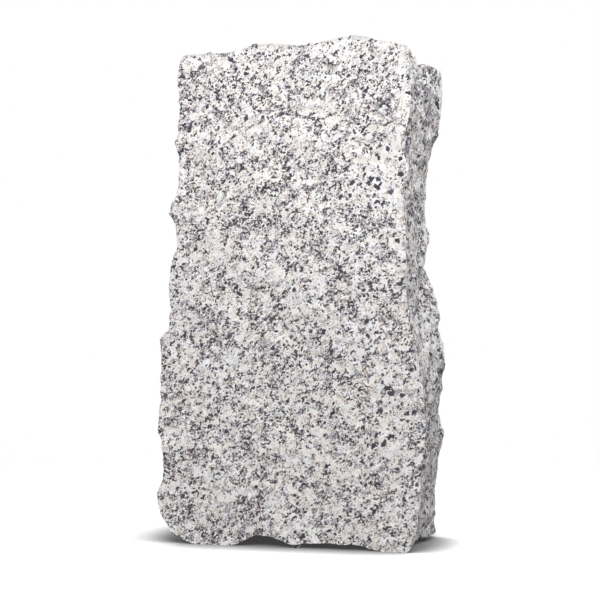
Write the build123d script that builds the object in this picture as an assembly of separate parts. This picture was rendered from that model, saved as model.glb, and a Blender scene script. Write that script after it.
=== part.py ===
from build123d import *
import os
from math import atan2, cos, degrees, dist, pi, sin

# Granite walling stone: one hand-split block of granite, standing on its end.
# +Z runs up the length, -Y is the face that shows in a wall, and the origin is on
# the ground below the middle of the block.

# Driving sizes, in millimetres
LENGTH = 400.0  # from the ground to the level of the head
FOOT_WIDTH = 222.0  # across the face at the foot
HEAD_WIDTH = 192.0  # across the face at the head
DEPTH = 100.0  # from the face to the back
STRAY = 10.0  # how far a split edge leaves its straight line at a share of 1
HOLLOW = 2.5  # how far the narrow sides fall back half way between face and back
KNUCKLE = 1.5  # how far single facets of the narrow sides lie in or out of that
FACE_SWELL = 2.2  # how far the face and the back swell and fall over their whole size
FACE_RIPPLE = 0.8  # how deep the shorter ripples on them are
SPALL_START = 33.0  # how far behind the face the spall at the head's right end starts
SPALL_WIDTH = 36.0  # how far it reaches in from the right
SPALL_DROP = 9.0  # how far it lies below the head there
SPALL_RISE = 5.0  # how far it climbs on its way to the back
OVERRUN = 30.0  # how far a cutting shape passes the block

# Split edges of the face: how far along the point lies, how far it strays outwards, and
# how hollow the scar to the next point is as a share of its length (less than 0 swells).
# Upright edges are read from foot to head, the head and the foot from left to right.
FACE_LEFT_SHARES = (
    (0.000, -1.10, -0.12),
    (0.100, 0.40, 0.11),
    (0.235, 0.60, -0.03),
    (0.400, 0.40, 0.00),
    (0.430, -0.10, 0.00),
    (0.565, 0.00, 0.00),
    (0.615, -0.45, 0.00),
    (0.700, -0.20, 0.07),
    (0.830, -0.10, 0.07),
    (0.950, -0.10, -0.05),
    (1.000, -0.55, 0.00),
)
FACE_RIGHT_SHARES = (
    (0.000, -0.95, -0.06),
    (0.080, -0.10, 0.00),
    (0.160, 0.20, 0.00),
    (0.225, 0.70, -0.02),
    (0.317, 0.60, 0.05),
    (0.395, 0.00, 0.03),
    (0.480, -0.40, 0.00),
    (0.650, -0.30, 0.05),
    (0.820, -0.20, -0.02),
    (0.905, 0.40, -0.03),
    (1.000, 0.30, 0.00),
)
FACE_HEAD_SHARES = (
    (0.00, 0.30, -0.02),
    (0.20, 0.45, 0.02),
    (0.33, 1.10, -0.01),
    (0.45, 1.05, 0.00),
    (0.54, 0.75, 0.00),
    (0.66, 1.20, -0.02),
    (0.77, 1.60, -0.02),
    (0.87, 1.10, 0.00),
    (0.94, 0.80, 0.00),
    (1.00, 0.45, 0.00),
)
FACE_FOOT_SHARES = (
    (0.000, -0.90, -0.05),
    (0.080, -0.15, 0.00),
    (0.140, 0.25, 0.00),
    (0.240, 0.20, 0.00),
    (0.350, -1.00, 0.02),
    (0.500, -0.40, 0.02),
    (0.800, -0.35, 0.00),
    (0.920, 0.20, 0.00),
    (0.975, 0.20, 0.00),
    (1.000, -0.20, 0.00),
)
# The back's right edge has its own scars, and its other three repeat the face's, turned
BACK_RIGHT_SHARES = (
    (0.000, -1.10, 0.05),
    (0.227, 0.00, 0.12),
    (0.362, 0.10, -0.02),
    (0.415, 0.10, 0.10),
    (0.500, -0.20, 0.00),
    (0.585, -1.45, 0.00),
    (0.650, -0.85, 0.08),
    (0.770, -0.70, 0.02),
    (0.900, 0.65, -0.02),
    (0.955, 0.90, -0.05),
    (1.000, 0.70, 0.00),
)
BACK_EASE_SHARE = 0.5  # the head and the foot stray less at the back than at the face

# Where the narrow sides change facets, on the way from the face to the back
FACET_SHARES = (0.22, 0.48, 0.76)

SPALL_SLANT_SHARE = 0.35  # how far the spall's front edge slants back for each width it runs in

# Waves of the broad faces
SWELL_SHARES = (0.6, 0.4)  # the crossing waves and the slanting one
FACE_TURN_SHARE = 0.10
BACK_TURN_SHARE = 0.45
RELIEF_STEPS = 30  # spans of the grid that the waves are laid through


def turned(shares, ease_share):
    """A split edge read from its other end, with its strays eased."""
    count = len(shares)
    bows = [shares[count - 2 - index][2] for index in range(count - 1)] + [0]
    ends = [(1 - along, stray * ease_share) for along, stray, bow in reversed(shares)]
    return [(along, stray, bow) for (along, stray), bow in zip(ends, bows)]


def upright_points(shares, side):
    """Points of an upright edge, foot to head; side is -1 on the left and 1 on the right."""
    points = []
    for along, stray, bow in shares:
        half_width = (FOOT_WIDTH + along * (HEAD_WIDTH - FOOT_WIDTH)) / 2
        points.append((side * (half_width + stray * STRAY), along * LENGTH))
    return points


def level_points(shares, left, right, height, side):
    """Points of a level edge, left to right; side is 1 at the head and -1 at the foot."""
    return [
        (left + along * (right - left), height + side * stray * STRAY)
        for along, stray, bow in shares
    ]


def outline(left_shares, head_shares, right_shares, foot_shares):
    """Points and bows of a closed outline, clockwise from the left foot."""
    left = upright_points(left_shares, -1)
    right = upright_points(right_shares, 1)
    head = level_points(head_shares, left[-1][0], right[-1][0], LENGTH, 1)
    foot = level_points(foot_shares, left[0][0], right[0][0], 0, -1)
    points = [foot[0]] + left[1:-1] + head + right[-2:0:-1] + foot[:0:-1]
    bows = [bow for along, stray, bow in left_shares[:-1]]
    bows += [bow for along, stray, bow in head_shares[:-1]]
    bows += [bow for along, stray, bow in right_shares[-2::-1]]
    bows += [bow for along, stray, bow in foot_shares[-2::-1]]
    return points, bows


def between(front, back, along):
    """The straight-sided outline a share of the way from one outline to another."""
    depth_share = 4 * along * (1 - along)
    points = []
    for index, ((fore_x, fore_z), (aft_x, aft_z)) in enumerate(zip(front[0], back[0])):
        fall = depth_share * (HOLLOW + KNUCKLE * sin(2 * index + pi * along))
        x = fore_x + along * (aft_x - fore_x)
        z = fore_z + along * (aft_z - fore_z)
        points.append((x - 2 * x / FOOT_WIDTH * fall, z + (1 - 2 * z / LENGTH) * fall))
    return points, [0] * len(points)


def section(points_and_bows, place):
    """The flat section with this outline, at a place along Y."""
    points, bows = points_and_bows
    edges = []
    for start, end, bow in zip(points, points[1:] + points[:1], bows):
        if bow:
            edges.append(SagittaArc(start, end, -bow * dist(start, end)))
        else:
            edges.append(Line(start, end))
    return Plane.XZ.offset(-place) * make_face(edges)


def riven_block(side, turn_share):
    """A block with one swelling broad face; side is -1 for the face and 1 for the back."""
    rows = []
    for across in range(RELIEF_STEPS + 1):
        u = across / RELIEF_STEPS
        row = []
        for up in range(RELIEF_STEPS + 1):
            v = up / RELIEF_STEPS
            broad = sin(2 * pi * (u + turn_share)) * cos(2 * pi * (v + turn_share))
            slant = sin(pi * (u + 3 * v + turn_share))
            swell = SWELL_SHARES[0] * broad + SWELL_SHARES[1] * slant
            ripple = sin(2 * pi * (4 * u + 2 * v + turn_share)) * cos(2 * pi * (5 * v - u))
            proud = swell * FACE_SWELL + ripple * FACE_RIPPLE
            x = (u - 1 / 2) * (FOOT_WIDTH + 2 * OVERRUN)
            z = v * (LENGTH + 2 * OVERRUN) - OVERRUN
            row.append(Vector(x, side * (DEPTH / 2 + proud), z))
        rows.append(row)
    face = Face.make_surface_from_array_of_points(rows)
    return extrude(face, amount=DEPTH + OVERRUN, dir=(0, -side, 0))


def spall():
    """The chip that broke off the head's right end, behind the face."""
    run = DEPTH - SPALL_START
    slope = degrees(atan2(SPALL_DROP, SPALL_WIDTH))
    climb = degrees(atan2(SPALL_RISE, run))
    slant = degrees(atan2(SPALL_SLANT_SHARE, 1))
    corner = Pos(HEAD_WIDTH / 2 + STRAY, SPALL_START - DEPTH / 2, LENGTH - SPALL_DROP)
    chip = Box(HEAD_WIDTH / 2, run + OVERRUN, OVERRUN, align=(Align.MAX, Align.MIN, Align.MIN))
    return corner * Rot(climb, slope, 0) * Rot(0, 0, -slant) * chip


def walling_stone():
    """The whole stone: split edges lofted to the back, riven faces, a spall, a flat bearing."""
    front = outline(FACE_LEFT_SHARES, FACE_HEAD_SHARES, FACE_RIGHT_SHARES, FACE_FOOT_SHARES)
    back = outline(
        turned(FACE_RIGHT_SHARES, 1),
        turned(FACE_HEAD_SHARES, BACK_EASE_SHARE),
        BACK_RIGHT_SHARES,
        turned(FACE_FOOT_SHARES, BACK_EASE_SHARE),
    )
    reach = DEPTH / 2 + FACE_SWELL + 2 * FACE_RIPPLE
    sections = [section(front, -reach)]
    for along in FACET_SHARES:
        sections.append(section(between(front, back, along), reach * (2 * along - 1)))
    sections.append(section(back, reach))
    rough = loft(sections, ruled=True)
    stone = rough & riven_block(-1, FACE_TURN_SHARE) & riven_block(1, BACK_TURN_SHARE)
    stone = split(stone - spall(), bisect_by=Plane.XY, keep=Keep.TOP)
    centre = stone.bounding_box().center()
    return Pos(-centre.X, -centre.Y, 0) * stone


os.makedirs("parts", exist_ok=True)
export_step(walling_stone(), "parts/walling_stone.step")
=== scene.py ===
"""The granite walling stone: its broken surface, its minerals, and a plain pale stage."""

import logging
import math
import random
from dataclasses import dataclass, field
from enum import Enum
from typing import Any

import bpy
from mathutils import Color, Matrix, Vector
from mathutils.kdtree import KDTree


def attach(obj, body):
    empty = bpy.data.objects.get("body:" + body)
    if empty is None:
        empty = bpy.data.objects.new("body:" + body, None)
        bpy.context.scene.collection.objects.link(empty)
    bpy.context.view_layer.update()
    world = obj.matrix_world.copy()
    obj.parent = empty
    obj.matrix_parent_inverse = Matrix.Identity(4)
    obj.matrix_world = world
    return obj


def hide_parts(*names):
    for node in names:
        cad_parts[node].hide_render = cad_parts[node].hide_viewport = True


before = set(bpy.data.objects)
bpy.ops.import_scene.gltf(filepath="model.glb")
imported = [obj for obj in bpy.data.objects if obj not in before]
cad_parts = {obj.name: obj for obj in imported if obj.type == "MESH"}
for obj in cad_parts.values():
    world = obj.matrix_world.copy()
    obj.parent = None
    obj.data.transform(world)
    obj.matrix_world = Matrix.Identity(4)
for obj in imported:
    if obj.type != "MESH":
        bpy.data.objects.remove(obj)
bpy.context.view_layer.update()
LOG = logging.getLogger("walling_stone")

STONE_NODE = "walling_stone"
SIDE_MARK = "side"  # the attribute that marks the narrow sides
PALE_EDGE_MARK = "bruise"  # the attribute that marks where the arrises are made paler
ARRIS_GROUP = "arris_weight"
SIDES_GROUP = "narrow_sides"

MILLIMETRE = 0.001
FULL_COLOUR = 255  # the most red, green or blue that a screen shows
MIDDLE = 0.5  # the middle of a number that runs from 0 to 1
SHIFT_SHARES = (1.0, 1.7, 0.6)  # how the shift of a pattern is shared by the three axes
CENTRE = (0.0, 0.0, 0.0)  # the origin, in the middle of the floor
WHITE = (1.0, 1.0, 1.0, 1.0)

Socket = bpy.types.NodeSocket
Number = float | Socket
Span = tuple[float, float]
Place = tuple[float, float, float]
Rgb = tuple[float, float, float]
Rgba = tuple[float, float, float, float]
Stops = tuple[tuple[float, Rgba], ...]


def screen_colour(red: int, green: int, blue: int) -> Rgba:
    """Turns a colour as a screen shows it into the linear colour of a shader.

    Args:
        red: red from 0 to 255.
        green: green from 0 to 255.
        blue: blue from 0 to 255.

    Returns:
        Linear red, green, blue and an alpha of 1.
    """
    shown = Color([channel / FULL_COLOUR for channel in (red, green, blue)])
    return (*shown.from_srgb_to_scene_linear(), 1.0)


def grey(level: float) -> Rgba:
    """Gives the grey of a linear level."""
    return (level, level, level, 1.0)


class MixKind(Enum):
    """What a Mix node mixes: its data type, then the numbers of its two inputs and of its output."""

    NUMBER = ("FLOAT", 2, 3, 0)
    COLOUR = ("RGBA", 6, 7, 2)


@dataclass(frozen=True)
class Clouds:
    """A cloudy variation: the size of its blotches, its finer layers and how strong each of them is."""

    size_mm: float
    detail: float = 2.0
    rough: float = 0.5


class NodeSheet:
    """The node tree of a material or a world, with a short method for each kind of node that it needs."""

    def __init__(self, owner: bpy.types.Material | bpy.types.World) -> None:
        """Starts an empty node tree.

        Args:
            owner: the material or the world.
        """
        owner.use_nodes = True
        self.tree = owner.node_tree
        self.tree.nodes.clear()

    def add(self, kind: str, inputs: dict[Any, Any] | None = None, **settings: Any) -> bpy.types.Node:
        """Adds a node, sets its properties and fills its inputs.

        Args:
            kind: the node's type without the ShaderNode in front.
            inputs: input names or numbers, with a value or a socket for each.
            settings: properties of the node.

        Returns:
            The node.
        """
        node = self.tree.nodes.new("ShaderNode" + kind)
        for name, value in settings.items():
            setattr(node, name, value)
        for name, value in (inputs or {}).items():
            if isinstance(value, Socket):
                self.tree.links.new(value, node.inputs[name])
            else:
                node.inputs[name].default_value = value
        return node

    def math(self, operation: str, *values: Number) -> Socket:
        """Adds a Math node that reads up to three numbers."""
        return self.add("Math", dict(enumerate(values)), operation=operation).outputs[0]

    def vector_math(self, operation: str, *values: Any) -> Socket:
        """Adds a Vector Math node.

        Args:
            operation: what it does, such as SCALE.
            values: vectors or sockets, and the scale as a number.

        Returns:
            Its vector output.
        """
        names = ("Vector", "Scale") if operation == "SCALE" else (0, 1)
        return self.add("VectorMath", dict(zip(names, values)), operation=operation).outputs["Vector"]

    def distance(self, one: Any, two: Any) -> Socket:
        """Measures how far two places lie apart."""
        return self.add("VectorMath", {0: one, 1: two}, operation="DISTANCE").outputs["Value"]

    def object_place(self) -> Socket:
        """Reads the place on the piece, in metres."""
        return self.add("TexCoord").outputs["Object"]

    def mark(self, name: str) -> Socket:
        """Reads one of the piece's own attributes."""
        return self.add("Attribute", attribute_name=name).outputs["Fac"]

    def step(self, value: Socket, low: float, high: float) -> Socket:
        """Adds a smooth step from 0 at low to 1 at high.

        Args:
            value: the number that is read.
            low: where the step starts.
            high: where it ends.

        Returns:
            The step.
        """
        inputs = {"Value": value, "From Min": low, "From Max": high}
        return self.add("MapRange", inputs, interpolation_type="SMOOTHSTEP").outputs[0]

    def noise(self, place: Socket, clouds: Clouds) -> bpy.types.Node:
        """Adds a cloud noise.

        Args:
            place: the place in millimetres.
            clouds: the kind of clouds.

        Returns:
            The noise node.
        """
        inputs = {
            "Vector": place,
            "Scale": 1 / clouds.size_mm,
            "Detail": clouds.detail,
            "Roughness": clouds.rough,
        }
        return self.add("TexNoise", inputs)

    def cloud(self, place: Socket, clouds: Clouds) -> Socket:
        """Gives the number of a cloud noise at a place in millimetres."""
        return self.noise(place, clouds).outputs[0]

    def cells(self, place: Socket, size_mm: float, shift_mm: float = 0.0) -> list[Socket]:
        """Adds a pattern of cells and gives each cell three numbers from 0 to 1.

        Args:
            place: the place in millimetres.
            size_mm: the size of a cell.
            shift_mm: how far the pattern is moved from the others.

        Returns:
            The three numbers.
        """
        apart = self.vector_math("ADD", place, tuple(share * shift_mm for share in SHIFT_SHARES))
        pattern = self.add("TexVoronoi", {"Vector": apart, "Scale": 1 / size_mm})
        return list(self.add("SeparateColor", {0: pattern.outputs["Color"]}).outputs)

    def spread(self, number: Socket, reach: float, middle: Number) -> Socket:
        """Spreads a number from 0 to 1 over a reach, evenly about a middle."""
        return self.math("MULTIPLY_ADD", self.math("SUBTRACT", number, MIDDLE), reach, middle)

    def bend(self, place: Socket, clouds: Clouds, reach_mm: float) -> Socket:
        """Shifts a place by a noise, so that the edges of grains become ragged.

        Args:
            place: the place in millimetres.
            clouds: the kind of noise.
            reach_mm: how far it shifts.

        Returns:
            The shifted place.
        """
        colour = self.noise(place, clouds).outputs["Color"]
        shift = self.vector_math("SUBTRACT", colour, (MIDDLE, MIDDLE, MIDDLE))
        return self.vector_math("ADD", place, self.vector_math("SCALE", shift, reach_mm))

    def mix(self, kind: MixKind, share: Number, low: Any, high: Any, way: str = "MIX") -> Socket:
        """Mixes two numbers or two colours.

        Args:
            kind: what is mixed.
            share: 0 for the low one and 1 for the high one.
            low: a value or socket.
            high: a value or socket.
            way: how colours are mixed, such as MULTIPLY.

        Returns:
            The mixed number or colour.
        """
        data_type, low_input, high_input, output = kind.value
        inputs = {0: share, low_input: low, high_input: high}
        return self.add("Mix", inputs, data_type=data_type, blend_type=way).outputs[output]

    def ramp(self, value: Socket, stops: Stops) -> Socket:
        """Adds a colour ramp.

        Args:
            value: the number that is read.
            stops: places from 0 to 1, each with its colour.

        Returns:
            The colour.
        """
        node = self.add("ValToRGB", {0: value})
        points = node.color_ramp.elements
        for index, (place, colour) in enumerate(stops):
            point = points[index] if index < len(points) else points.new(place)
            point.position = place
            point.color = colour
        return node.outputs[0]

    def seen(self) -> Socket:
        """Tells the rays that show a surface from those that carry its light to other things.

        Returns:
            1 for a ray from the camera, off a gloss or through glass, and 0 for others.
        """
        path = self.add("LightPath")
        seen = path.outputs["Is Camera Ray"]
        for kind in ("Is Glossy Ray", "Is Transmission Ray"):
            seen = self.math("MAXIMUM", seen, path.outputs[kind])
        return seen


@dataclass(frozen=True)
class MineralGrains:
    """One kind of scattered grain, with its share where it is rare and where it crowds."""

    size_mm: float
    rare_share: float
    crowd_share: float
    shift_mm: float
    tone: float = 0.06
    tone_spread: float = 0.12
    cover: float = 1.0

    def lay(self, sheet: NodeSheet, place: Socket, crowd: Socket, tone: Socket) -> Socket:
        """Lays the grains over a tone.

        Args:
            sheet: the node tree.
            place: the place in millimetres.
            crowd: 0 where the grains are rare to 1 where they crowd.
            tone: the tone below them.

        Returns:
            The tone with the grains.
        """
        cells = sheet.cells(place, self.size_mm, self.shift_mm)
        limit = sheet.math("MULTIPLY_ADD", crowd, self.crowd_share - self.rare_share, self.rare_share)
        cover = sheet.math("MULTIPLY", sheet.math("LESS_THAN", cells[0], limit), self.cover)
        own_tone = sheet.spread(cells[1], self.tone_spread, self.tone)
        return sheet.mix(MixKind.NUMBER, cover, tone, own_tone)


@dataclass(frozen=True)
class CrystalNest:
    """A place where large crystals crowd."""

    centre_mm: Place
    radius_mm: float

    def inside(self, sheet: NodeSheet, place: Socket) -> Socket:
        """Tells how deep in the nest a place lies.

        Args:
            sheet: the node tree.
            place: the place in metres.

        Returns:
            0 outside the nest to 1 in its middle.
        """
        centre = tuple(value * MILLIMETRE for value in self.centre_mm)
        return sheet.step(sheet.distance(place, centre), self.radius_mm * MILLIMETRE, 0.0)


@dataclass(frozen=True)
class GraniteFinish:
    """Light grey granite: pale feldspar, grey quartz and flecks of dark mica.

    The colour at a place is read from one tone, which runs from mica at 0 over quartz to feldspar at 1,
    and is tinted by a hue. Small dark grains crowd in clusters, and leave room for the paler arrises and
    for nests of large crystals.
    """

    tones: Stops = (
        (0.00, screen_colour(24, 22, 31)),
        (0.10, screen_colour(64, 59, 73)),
        (0.16, screen_colour(109, 104, 117)),
        (0.30, screen_colour(156, 150, 159)),
        (0.42, screen_colour(200, 194, 195)),
        (0.55, screen_colour(231, 227, 222)),
        (0.70, screen_colour(244, 243, 242)),
        (1.00, screen_colour(252, 252, 254)),
    )
    tints: Stops = (
        (0.00, screen_colour(255, 248, 243)),
        (0.30, screen_colour(255, 252, 249)),
        (0.55, screen_colour(252, 254, 252)),
        (0.80, screen_colour(253, 251, 255)),
        (1.00, screen_colour(249, 252, 255)),
    )
    feldspar_mm: float = 3.4
    feldspar_tone: float = 0.64
    feldspar_spread: float = 0.31
    crystal_mm: float = 0.85
    crystal_spread: float = 0.50
    quartz: MineralGrains = MineralGrains(
        size_mm=4.2,
        rare_share=0.15,
        crowd_share=0.45,
        shift_mm=31.0,
        tone=0.34,
        tone_spread=0.22,
        cover=0.8,
    )
    micas: tuple[MineralGrains, ...] = (
        MineralGrains(size_mm=1.5, rare_share=0.02, crowd_share=0.33, shift_mm=53.0),
        MineralGrains(size_mm=0.85, rare_share=0.015, crowd_share=0.17, shift_mm=87.0),
    )
    pale_crystal: MineralGrains = MineralGrains(
        size_mm=5.0,
        rare_share=0.012,
        crowd_share=0.22,
        shift_mm=23.0,
        tone=0.68,
        tone_spread=0.24,
    )
    dark_crystal: MineralGrains = MineralGrains(
        size_mm=3.2,
        rare_share=0.006,
        crowd_share=0.14,
        shift_mm=19.0,
    )
    nests: tuple[CrystalNest, ...] = (
        CrystalNest(centre_mm=(70.0, -50.0, 300.0), radius_mm=46.0),
        CrystalNest(centre_mm=(93.0, -50.0, 128.0), radius_mm=34.0),
        CrystalNest(centre_mm=(77.0, -50.0, 90.0), radius_mm=24.0),
    )
    mottle: Clouds = Clouds(size_mm=1.4, rough=0.7)
    mottle_spread: float = 0.5
    cluster: Clouds = Clouds(size_mm=5.5, rough=0.6)
    patch: Clouds = Clouds(size_mm=18.0, detail=1.0)
    patch_spread: float = 0.4
    crowd_limits: Span = (0.62, 0.36)  # levels of the clusters where dark grains are rare, and crowd
    clearing: float = 0.75  # how much the paler arrises and the large grains thin out the dark ones
    hue: Clouds = Clouds(size_mm=12.0, rough=0.6)
    hue_spread: float = 0.5
    ragged: Clouds = Clouds(size_mm=1.3, detail=1.0)
    ragged_reach_mm: float = 1.4
    # Paler arrises: a lighter tone and fewer dark grains, in blotches along the arrises of the broad
    # faces, at the head and high up on the right.
    bruise: Clouds = Clouds(size_mm=9.0)
    pale_edge_limits: Span = (0.35, 0.60)
    pale_edge_reach: Span = (0.0, 0.7)
    pale_edge_lift: float = 0.10
    strain_deg: float = -35.0  # the slant that the grains are drawn out along
    strain_share: float = 0.9  # a grain's height as a share of its length along the slant
    depth_share: float = 0.8  # the same share for its length from the face to the back
    side_limit: float = 0.5
    side_grain: float = 1.4  # how much larger the grains of the narrow sides are
    side_bump: float = 3.0  # how much the narrow sides add to the bump
    grit: Clouds = Clouds(size_mm=1.2, detail=3.0, rough=0.6)
    crystal_height: float = 0.5
    bump_strength: float = 0.6
    bump_mm: float = 0.5
    least_roughness: float = 0.45
    roughness_spread: float = 0.45

    def material(self) -> bpy.types.Material:
        """Builds the granite's node tree on Object coordinates.

        Returns:
            The material.
        """
        material = bpy.data.materials.new("granite")
        sheet = NodeSheet(material)
        side = sheet.mark(SIDE_MARK)
        place = self._place(sheet, side)
        torn = sheet.bend(place, self.ragged, self.ragged_reach_mm)
        own_tone, own_hue, own_height = sheet.cells(torn, self.feldspar_mm)
        crystals = sheet.cells(place, self.crystal_mm)
        # paler arrises: a lighter tone and fewer dark grains along the arrises, at the head and high up
        # on the right
        bruise = self._pale_edge(sheet, place)
        nest = self._nest(sheet)
        crowd = self._crowd(sheet, place, sheet.math("MAXIMUM", bruise, nest))

        tone = sheet.spread(own_tone, self.feldspar_spread, self.feldspar_tone)
        tone = self.quartz.lay(sheet, torn, crowd, tone)
        tone = sheet.spread(crystals[0], self.crystal_spread, tone)
        tone = sheet.spread(sheet.cloud(place, self.mottle), self.mottle_spread, tone)
        tone = sheet.math("MULTIPLY_ADD", bruise, self.pale_edge_lift, tone)
        for mica in self.micas:
            tone = mica.lay(sheet, torn, crowd, tone)
        for crystal in (self.pale_crystal, self.dark_crystal):
            tone = crystal.lay(sheet, torn, nest, tone)
        hue = sheet.spread(sheet.cloud(place, self.hue), self.hue_spread, own_hue)
        tint = sheet.ramp(hue, self.tints)
        colour = sheet.mix(MixKind.COLOUR, 1.0, sheet.ramp(tone, self.tones), tint, "MULTIPLY")

        height = sheet.math("MULTIPLY_ADD", crystals[2], self.crystal_height, own_height)
        rough = sheet.math("MULTIPLY_ADD", own_height, self.roughness_spread, self.least_roughness)
        bump = self._bump(sheet, place, side, height)
        shader = sheet.add("BsdfPrincipled", {"Base Color": colour, "Roughness": rough, "Normal": bump})
        sheet.add("OutputMaterial", {"Surface": shader.outputs[0]})
        return material

    def _place(self, sheet: NodeSheet, side: Socket) -> Socket:
        """Reads the place in millimetres, drawn out along the slant that the grains follow.

        The narrow sides broke along whole crystals, so their grains are larger.

        Args:
            sheet: the node tree.
            side: the mark of the narrow sides.

        Returns:
            The place.
        """
        inputs = {
            "Vector": sheet.object_place(),
            "Rotation": (0.0, math.radians(self.strain_deg), 0.0),
            "Scale": (MILLIMETRE / self.strain_share, MILLIMETRE / self.depth_share, MILLIMETRE),
        }
        place = sheet.add("Mapping", inputs, vector_type="TEXTURE").outputs[0]
        coarse = sheet.math("GREATER_THAN", side, self.side_limit)
        scale = sheet.math("MULTIPLY_ADD", coarse, 1 / self.side_grain - 1, 1.0)
        return sheet.vector_math("SCALE", place, scale)

    def _pale_edge(self, sheet: NodeSheet, place: Socket) -> Socket:
        """Finds where the broad faces are made paler along their arrises, in blotches.

        Args:
            sheet: the node tree.
            place: the place in millimetres.

        Returns:
            0 for the plain tone to 1 for the palest.
        """
        near = sheet.step(sheet.mark(PALE_EDGE_MARK), *self.pale_edge_reach)
        blotch = sheet.step(sheet.cloud(place, self.bruise), *self.pale_edge_limits)
        return sheet.math("MULTIPLY", near, blotch)

    def _nest(self, sheet: NodeSheet) -> Socket:
        """Finds the nests of large crystals.

        Args:
            sheet: the node tree.

        Returns:
            0 outside the nests to 1 in the middle of one.
        """
        place = sheet.object_place()
        depth = 0.0
        for nest in self.nests:
            depth = sheet.math("MAXIMUM", depth, nest.inside(sheet, place))
        return depth

    def _crowd(self, sheet: NodeSheet, place: Socket, cleared: Socket) -> Socket:
        """Finds where the small dark grains crowd together.

        Args:
            sheet: the node tree.
            place: the place in millimetres.
            cleared: 1 where the paler arrises and the large grains leave little room for them.

        Returns:
            0 where dark grains are rare to 1 where they crowd.
        """
        cluster = sheet.cloud(place, self.cluster)
        patches = sheet.spread(sheet.cloud(place, self.patch), self.patch_spread, cluster)
        room = sheet.math("MULTIPLY_ADD", cleared, -self.clearing, 1.0)
        return sheet.math("MULTIPLY", sheet.step(patches, *self.crowd_limits), room)

    def _bump(self, sheet: NodeSheet, place: Socket, side: Socket, height: Socket) -> Socket:
        """Roughens the surface between its grains, most of all on the narrow sides.

        Args:
            sheet: the node tree.
            place: the place in millimetres.
            side: the mark of the narrow sides.
            height: the height of the grains.

        Returns:
            The normal.
        """
        height = sheet.math("ADD", height, sheet.cloud(place, self.grit))
        height = sheet.math("MULTIPLY", height, sheet.math("MULTIPLY_ADD", side, self.side_bump, 1.0))
        inputs = {
            "Strength": self.bump_strength,
            "Distance": self.bump_mm * MILLIMETRE,
            "Height": height,
        }
        return sheet.add("Bump", inputs).outputs[0]


class BreakTexture(Enum):
    """Kinds of relief that splitting leaves on granite, each with the level that stays where it is."""

    CLOUDS = 0.5
    VORONOI = 0.45


@dataclass(frozen=True)
class BreakScale:
    """One scale of the broken surface, all over the stone or on a group of its points."""

    name: str
    texture: BreakTexture
    size_mm: float
    height_mm: float
    group: str = ""


@dataclass(frozen=True)
class ShellScars:
    """The shell-shaped scars that the blows leave on the narrow sides."""

    count: int = 620
    radius_mm: float = 34.0
    offset_mm: float = 1.1
    tilt_share: float = 0.22
    length_share: float = 0.65
    neighbours: int = 6
    seed: int = 5

    def heights(self, places: list[Vector]) -> list[float]:
        """Works out how far each place of the sides lies in or out.

        Args:
            places: places on the sides, in metres.

        Returns:
            A height in metres for each place, with a mean of zero.
        """
        draw = random.Random(self.seed)
        squeeze = Vector((1.0, self.length_share, 1.0))
        centres = [draw.choice(places) * squeeze for index in range(self.count)]
        offsets = [draw.uniform(-self.offset_mm, self.offset_mm) * MILLIMETRE for centre in centres]
        tilts = [self._tilt(draw) for centre in centres]
        tree = point_tree(centres)
        heights = []
        for place in places:
            lowest = math.inf
            for centre, index, distance in tree.find_n(place * squeeze, self.neighbours):
                shell = distance * distance / (2 * self.radius_mm * MILLIMETRE)
                slope = tilts[index].dot(place * squeeze - centre)
                lowest = min(lowest, offsets[index] + slope + shell)
            heights.append(lowest)
        mean = sum(heights) / len(heights)
        return [height - mean for height in heights]

    def _tilt(self, draw: random.Random) -> Vector:
        """Draws how a scar leans along the three axes."""
        return Vector([draw.uniform(-self.tilt_share, self.tilt_share) for axis in "XYZ"])


def point_tree(points: list[Vector]) -> KDTree:
    """Makes a tree that finds the nearest of many points.

    Args:
        points: the points.

    Returns:
        The tree, which numbers the points in their order.
    """
    tree = KDTree(len(points))
    for index, point in enumerate(points):
        tree.insert(point, index)
    tree.balance()
    return tree


def share_between(value: float, limits_mm: Span) -> float:
    """Runs from 0 at the first limit to 1 at the second, for a value in metres."""
    low, high = (limit * MILLIMETRE for limit in limits_mm)
    return min(1.0, max(0.0, (value - low) / (high - low)))


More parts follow.
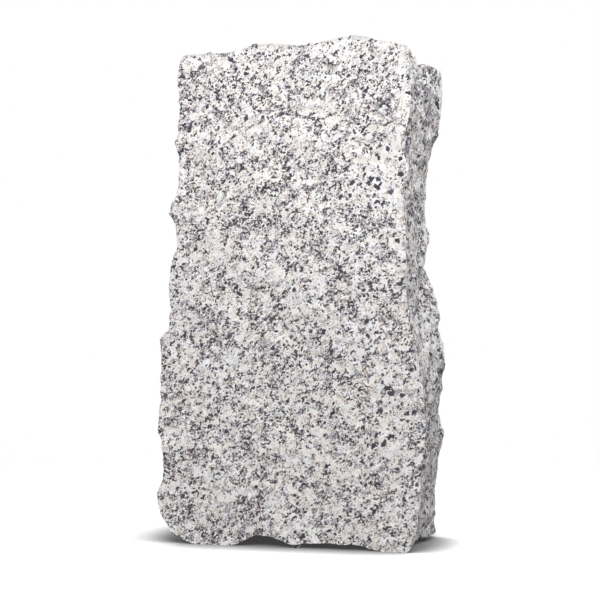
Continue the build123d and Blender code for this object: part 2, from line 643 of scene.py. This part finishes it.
@dataclass
class WallingStone:
    """The stone itself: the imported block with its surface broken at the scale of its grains."""

    weld_mm: float = 0.01
    octree_depth: int = 8
    octree_scale: float = 0.9
    octree_sharpness: float = 1.0
    arris_deg: float = 40.0
    arris_reach_mm: float = 12.0
    arris_spacing_mm: float = 2.0
    ground_reach_mm: float = 3.0  # how high up the relief gives way to the ground
    pale_side_mm: Span = (30.0, 70.0)  # how far to the right the arrises begin to turn paler, and are palest
    head_band_mm: Span = (360.0, 390.0)  # how high up the head begins, and is full: where the arrises turn paler and chip less
    pale_foot_mm: Span = (140.0, 220.0)  # how high up the paling begins, and is full, for all of them
    head_ease: float = 0.75  # how much less the arrises of the head chip
    crease_deg: float = 38.0
    side_limits: Span = (0.45, 0.85)  # how far a normal leans to the face or the back on a narrow side
    scars: ShellScars = ShellScars()
    scales: tuple[BreakScale, ...] = (
        BreakScale("flake", BreakTexture.CLOUDS, size_mm=28.0, height_mm=1.6),
        BreakScale("splinter", BreakTexture.VORONOI, size_mm=7.0, height_mm=2.6, group=SIDES_GROUP),
        BreakScale("grit", BreakTexture.VORONOI, size_mm=4.2, height_mm=1.8, group=SIDES_GROUP),
        BreakScale("chip", BreakTexture.VORONOI, size_mm=10.0, height_mm=2.4, group=ARRIS_GROUP),
        BreakScale("crystal", BreakTexture.VORONOI, size_mm=6.5, height_mm=1.0),
        BreakScale("grain", BreakTexture.CLOUDS, size_mm=3.6, height_mm=0.8),
    )
    stone: bpy.types.Object | None = field(default=None, init=False)

    def build(self) -> bpy.types.Object:
        """Makes the stone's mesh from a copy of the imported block.

        Returns:
            The stone.
        """
        self.stone = self._copy_of_block()
        arrises = self._arris_points()
        self._remesh()
        levels = [vertex.co.z for vertex in self.stone.data.vertices]
        self._scar_sides(self._mark_arrises(arrises))
        for scale in self.scales:
            self._break_surface(scale)
        self._stand_on_ground(levels)
        self._close_pinches()
        bpy.ops.object.shade_smooth_by_angle(angle=math.radians(self.crease_deg))
        return self.stone

    def dress(self, finish: GraniteFinish) -> None:
        """Gives the stone its finish and its place in the frame.

        Args:
            finish: the granite.
        """
        self.stone.data.materials.clear()
        self.stone.data.materials.append(finish.material())
        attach(self.stone, "root")
        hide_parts(STONE_NODE)

    def _copy_of_block(self) -> bpy.types.Object:
        """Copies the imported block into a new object, with its loose triangles merged.

        Returns:
            The copy.
        """
        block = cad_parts[STONE_NODE]
        stone = bpy.data.objects.new("split_granite", block.data.copy())
        bpy.context.scene.collection.objects.link(stone)
        bpy.ops.object.select_all(action="DESELECT")
        stone.select_set(True)
        bpy.context.view_layer.objects.active = stone
        bpy.ops.object.mode_set(mode="EDIT")
        bpy.ops.mesh.select_all(action="SELECT")
        bpy.ops.mesh.remove_doubles(threshold=self.weld_mm * MILLIMETRE)
        bpy.ops.object.mode_set(mode="OBJECT")
        return stone

    def _edit_edges(self) -> None:
        """Starts to edit the stone by its edges, with none of them selected."""
        bpy.ops.object.mode_set(mode="EDIT")
        bpy.ops.mesh.select_mode(type="EDGE")
        bpy.ops.mesh.select_all(action="DESELECT")

    def _arris_points(self) -> list[Vector]:
        """Finds points along the block's sharp edges.

        Returns:
            The points, about arris_spacing_mm apart.
        """
        self._edit_edges()
        bpy.ops.mesh.edges_select_sharp(sharpness=math.radians(self.arris_deg))
        bpy.ops.object.mode_set(mode="OBJECT")
        mesh = self.stone.data
        points = []
        for edge in mesh.edges:
            if edge.select:
                start, end = (mesh.vertices[index].co for index in edge.vertices)
                count = max(1, round((end - start).length / (self.arris_spacing_mm * MILLIMETRE)))
                points += [start.lerp(end, index / count) for index in range(count + 1)]
        return points

    def _remesh(self) -> None:
        """Covers the block with small even faces, and keeps its arrises sharp."""
        remesh = self.stone.modifiers.new("remesh", "REMESH")
        remesh.mode = "SHARP"
        remesh.octree_depth = self.octree_depth
        remesh.scale = self.octree_scale
        remesh.sharpness = self.octree_sharpness
        bpy.ops.object.modifier_apply(modifier=remesh.name)

    def _mark_arrises(self, points: list[Vector]) -> list[float]:
        """Stores where the stone is near an arris, and where its arrises are made paler.

        Args:
            points: points along the arrises.

        Returns:
            How near each vertex is to an arris, from 0 to 1.
        """
        tree = point_tree(points)
        mesh = self.stone.data
        reach = self.arris_reach_mm * MILLIMETRE
        near = []
        for vertex in mesh.vertices:
            point, index, distance = tree.find(vertex.co)
            near.append(max(0.0, 1 - distance / reach))
        group = self.stone.vertex_groups.new(name=ARRIS_GROUP)
        for share, vertex in zip(near, mesh.vertices):
            if share:
                eased = 1 - self.head_ease * share_between(vertex.co.z, self.head_band_mm)
                group.add([vertex.index], share * eased, "REPLACE")
        # made paler along the arrises of the broad faces, at the head and high up on the right, and not
        # near the foot
        bruise = [
            share * abs(vertex.normal.y) * self._paling(vertex.co)
            for share, vertex in zip(near, mesh.vertices)
        ]
        mesh.attributes.new(PALE_EDGE_MARK, "FLOAT", "POINT").data.foreach_set("value", bruise)
        return near

    def _paling(self, place: Vector) -> float:
        """Tells how much paler the arrises are made at a place: at the head and high up on the right, and
        not near the foot.

        Args:
            place: the place in metres.

        Returns:
            A share from 0 to 1.
        """
        side = share_between(place.x, self.pale_side_mm)
        head = share_between(place.z, self.head_band_mm)
        return max(side, head) * share_between(place.z, self.pale_foot_mm)

    def _scar_sides(self, near: list[float]) -> None:
        """Moves the narrow sides in and out by the scars of the blows, and marks them for finer relief.

        Args:
            near: how near each vertex is to an arris, from 0 to 1.
        """
        low, high = self.side_limits
        sides = [vertex for vertex in self.stone.data.vertices if abs(vertex.normal.y) < high]
        normals = [vertex.normal.copy() for vertex in sides]
        heights = self.scars.heights([vertex.co.copy() for vertex in sides])
        group = self.stone.vertex_groups.new(name=SIDES_GROUP)
        marks = self.stone.data.attributes.new(SIDE_MARK, "FLOAT", "POINT").data
        for vertex, normal, height in zip(sides, normals, heights):
            share = min(1.0, (high - abs(normal.y)) / (high - low))
            marks[vertex.index].value = share
            group.add([vertex.index], share * (1 - near[vertex.index]), "REPLACE")
            vertex.co += normal * (height * share)

    def _break_surface(self, scale: BreakScale) -> None:
        """Moves the surface in and out at one scale.

        Args:
            scale: the size and height of the relief.
        """
        texture = bpy.data.textures.new(scale.name, scale.texture.name)
        texture.noise_scale = scale.size_mm * MILLIMETRE
        displace = self.stone.modifiers.new(scale.name, "DISPLACE")
        displace.texture = texture
        displace.texture_coords = "LOCAL"
        displace.strength = scale.height_mm * MILLIMETRE
        displace.mid_level = scale.texture.value
        displace.vertex_group = scale.group
        bpy.ops.object.modifier_apply(modifier=displace.name)

    def _stand_on_ground(self, levels: list[float]) -> None:
        """Brings the foot back to its own levels, so that it bears on the ground as the block does.

        Args:
            levels: the height of each vertex before the surface was broken.
        """
        for vertex, level in zip(self.stone.data.vertices, levels):
            free = share_between(level, (0.0, self.ground_reach_mm))
            vertex.co.z = max(0.0, level + (vertex.co.z - level) * free)

    def _close_pinches(self) -> None:
        """Collapses each edge that more than two faces share, so that each edge joins two faces."""
        self._edit_edges()
        bpy.ops.mesh.select_non_manifold(
            use_wire=False, use_boundary=False, use_non_contiguous=False, use_verts=False
        )
        bpy.ops.mesh.merge(type="COLLAPSE")
        bpy.ops.object.mode_set(mode="OBJECT")


@dataclass
class PaleStage:
    """A white floor that keeps the stone's shadow from the lamps and a painted contact shadow near it, in
    a white surround. Sizes are in metres.
    """

    half_size: float = 3.0
    floor_share: float = 0.15  # the share of the light that the floor throws back at the stone
    camera_gain: float = 9.0  # how much brighter the floor is to the camera
    painted_shadow_reach: float = 0.07  # how far from the stone the painted contact shadow reaches
    # levels of the floor's openness where the painted contact shadow is darkest, and where it ends
    painted_shadow_limits: Span = (0.45, 1.0)
    painted_shadow_share: float = 0.2  # how bright the floor stays in the middle of the painted contact shadow
    shadow_glow: float = 0.045
    fade: Span = (0.35, 0.75)  # how far out the floor begins to turn white, and is white
    surround: float = 0.36  # how strongly the white surround lights the stone
    floor: bpy.types.Object | None = field(default=None, init=False)

    def build(self) -> bpy.types.Object:
        """Makes the floor.

        Returns:
            The floor.
        """
        bpy.ops.object.select_all(action="DESELECT")
        bpy.ops.mesh.primitive_plane_add(size=2 * self.half_size)
        self.floor = bpy.context.object
        self.floor.name = "pale_floor"
        return self.floor

    def dress(self) -> None:
        """Gives the floor its material and the scene its surround."""
        self.floor.data.materials.append(self._floor_material())
        bpy.context.scene.world = self._world()

    def _floor_material(self) -> bpy.types.Material:
        """Builds a floor that is white to the camera, with the stone's shadow from the lamps and a
        painted contact shadow near the stone, and dim to the stone.

        Returns:
            The material.
        """
        material = bpy.data.materials.new("pale_floor")
        sheet = NodeSheet(material)
        seen = sheet.seen()
        # To the camera the floor's colour darkens where the stone closes it in: a painted contact shadow,
        # on top of the lamps' real shadows.
        openness = sheet.add("AmbientOcclusion", {"Distance": self.painted_shadow_reach}).outputs["AO"]
        bright = self.floor_share * self.camera_gain
        dark = bright * self.painted_shadow_share
        clear_of_painted_shadow = sheet.step(openness, *self.painted_shadow_limits)
        shaded = sheet.mix(MixKind.COLOUR, clear_of_painted_shadow, grey(dark), grey(bright))
        colour = sheet.mix(MixKind.COLOUR, seen, grey(self.floor_share), shaded)
        plain = sheet.add("BsdfDiffuse", {"Color": colour})
        glow = sheet.add("Emission", {"Strength": sheet.math("MULTIPLY", seen, self.shadow_glow)})
        near = sheet.add("AddShader", {0: plain.outputs[0], 1: glow.outputs[0]})
        white = sheet.add("Emission", {"Strength": 1.0})
        away = sheet.step(sheet.distance(sheet.object_place(), CENTRE), *self.fade)
        far = sheet.math("MULTIPLY", away, seen)
        surface = sheet.add("MixShader", {0: far, 1: near.outputs[0], 2: white.outputs[0]})
        sheet.add("OutputMaterial", {"Surface": surface.outputs[0]})
        return material

    def _world(self) -> bpy.types.World:
        """Builds a world that is white to the camera and a plain soft light to the stone.

        Returns:
            The world.
        """
        world = bpy.data.worlds.new("surround")
        sheet = NodeSheet(world)
        strength = sheet.add("MapRange", {"Value": sheet.seen(), "To Min": self.surround})
        background = sheet.add("Background", {"Color": WHITE, "Strength": strength.outputs[0]})
        sheet.add("OutputWorld", {"Surface": background.outputs[0]})
        return world


@dataclass(frozen=True)
class SoftBox:
    """One soft studio light, in metres and watts."""

    name: str
    place: Place
    aim: Place
    size: float
    power: float
    colour: Rgb = (1.0, 1.0, 1.0)

    def build(self) -> bpy.types.Object:
        """Makes the light and turns it to its aim.

        Returns:
            The light.
        """
        lamp = bpy.data.lights.new(self.name, "AREA")
        lamp.size = self.size
        lamp.energy = self.power
        lamp.color = self.colour
        light = bpy.data.objects.new(self.name, lamp)
        light.location = self.place
        light.rotation_euler = (Vector(self.aim) - Vector(self.place)).to_track_quat("-Z", "Y").to_euler()
        bpy.context.scene.collection.objects.link(light)
        return light


@dataclass(frozen=True)
class PhotoCamera:
    """The camera at the photograph's place: level, half way up the stone and to its right."""

    place: Place = (0.41916, -1.38810, 0.2014)
    level_deg: float = 90.0
    turn_deg: float = 17.0
    lens_mm: float = 103.5

    def build(self) -> bpy.types.Object:
        """Makes the camera and gives it to the scene.

        Returns:
            The camera.
        """
        data = bpy.data.cameras.new("photo_camera")
        data.lens = self.lens_mm
        camera = bpy.data.objects.new("photo_camera", data)
        camera.location = self.place
        camera.rotation_euler = (math.radians(self.level_deg), 0.0, math.radians(self.turn_deg))
        bpy.context.scene.collection.objects.link(camera)
        bpy.context.scene.camera = camera
        return camera


LIGHTS = (
    SoftBox("key_light", place=(0.10, -1.00, 0.90), aim=(0.0, 0.0, 0.25), size=0.6, power=12.4),
    SoftBox(
        "side_light",
        place=(0.58, -0.02, 0.80),
        aim=(0.0, 0.0, 0.32),
        size=0.45,
        power=3.4,
        colour=(0.96, 0.98, 1.0),
    ),
    SoftBox("back_light", place=(-0.35, 1.25, 0.55), aim=(0.0, 0.0, 0.22), size=0.8, power=7.5),
)


def main() -> None:
    """Builds the stone, the stage, the lights and the camera."""
    logging.basicConfig(level=logging.INFO, format="%(name)s: %(message)s")
    bpy.context.scene.view_settings.view_transform = "Standard"
    stone = WallingStone()
    piece = stone.build()
    stone.dress(GraniteFinish())
    LOG.info("%s: %d faces", piece.name, len(piece.data.polygons))
    stage = PaleStage()
    floor = stage.build()
    stage.dress()
    LOG.info("%s: %.1f m wide", floor.name, 2 * stage.half_size)
    for light in LIGHTS:
        LOG.info("%s: %.1f W", light.build().name, light.power)
    LOG.info("%s: in place", PhotoCamera().build().name)


if __name__ == "__main__":
    main()
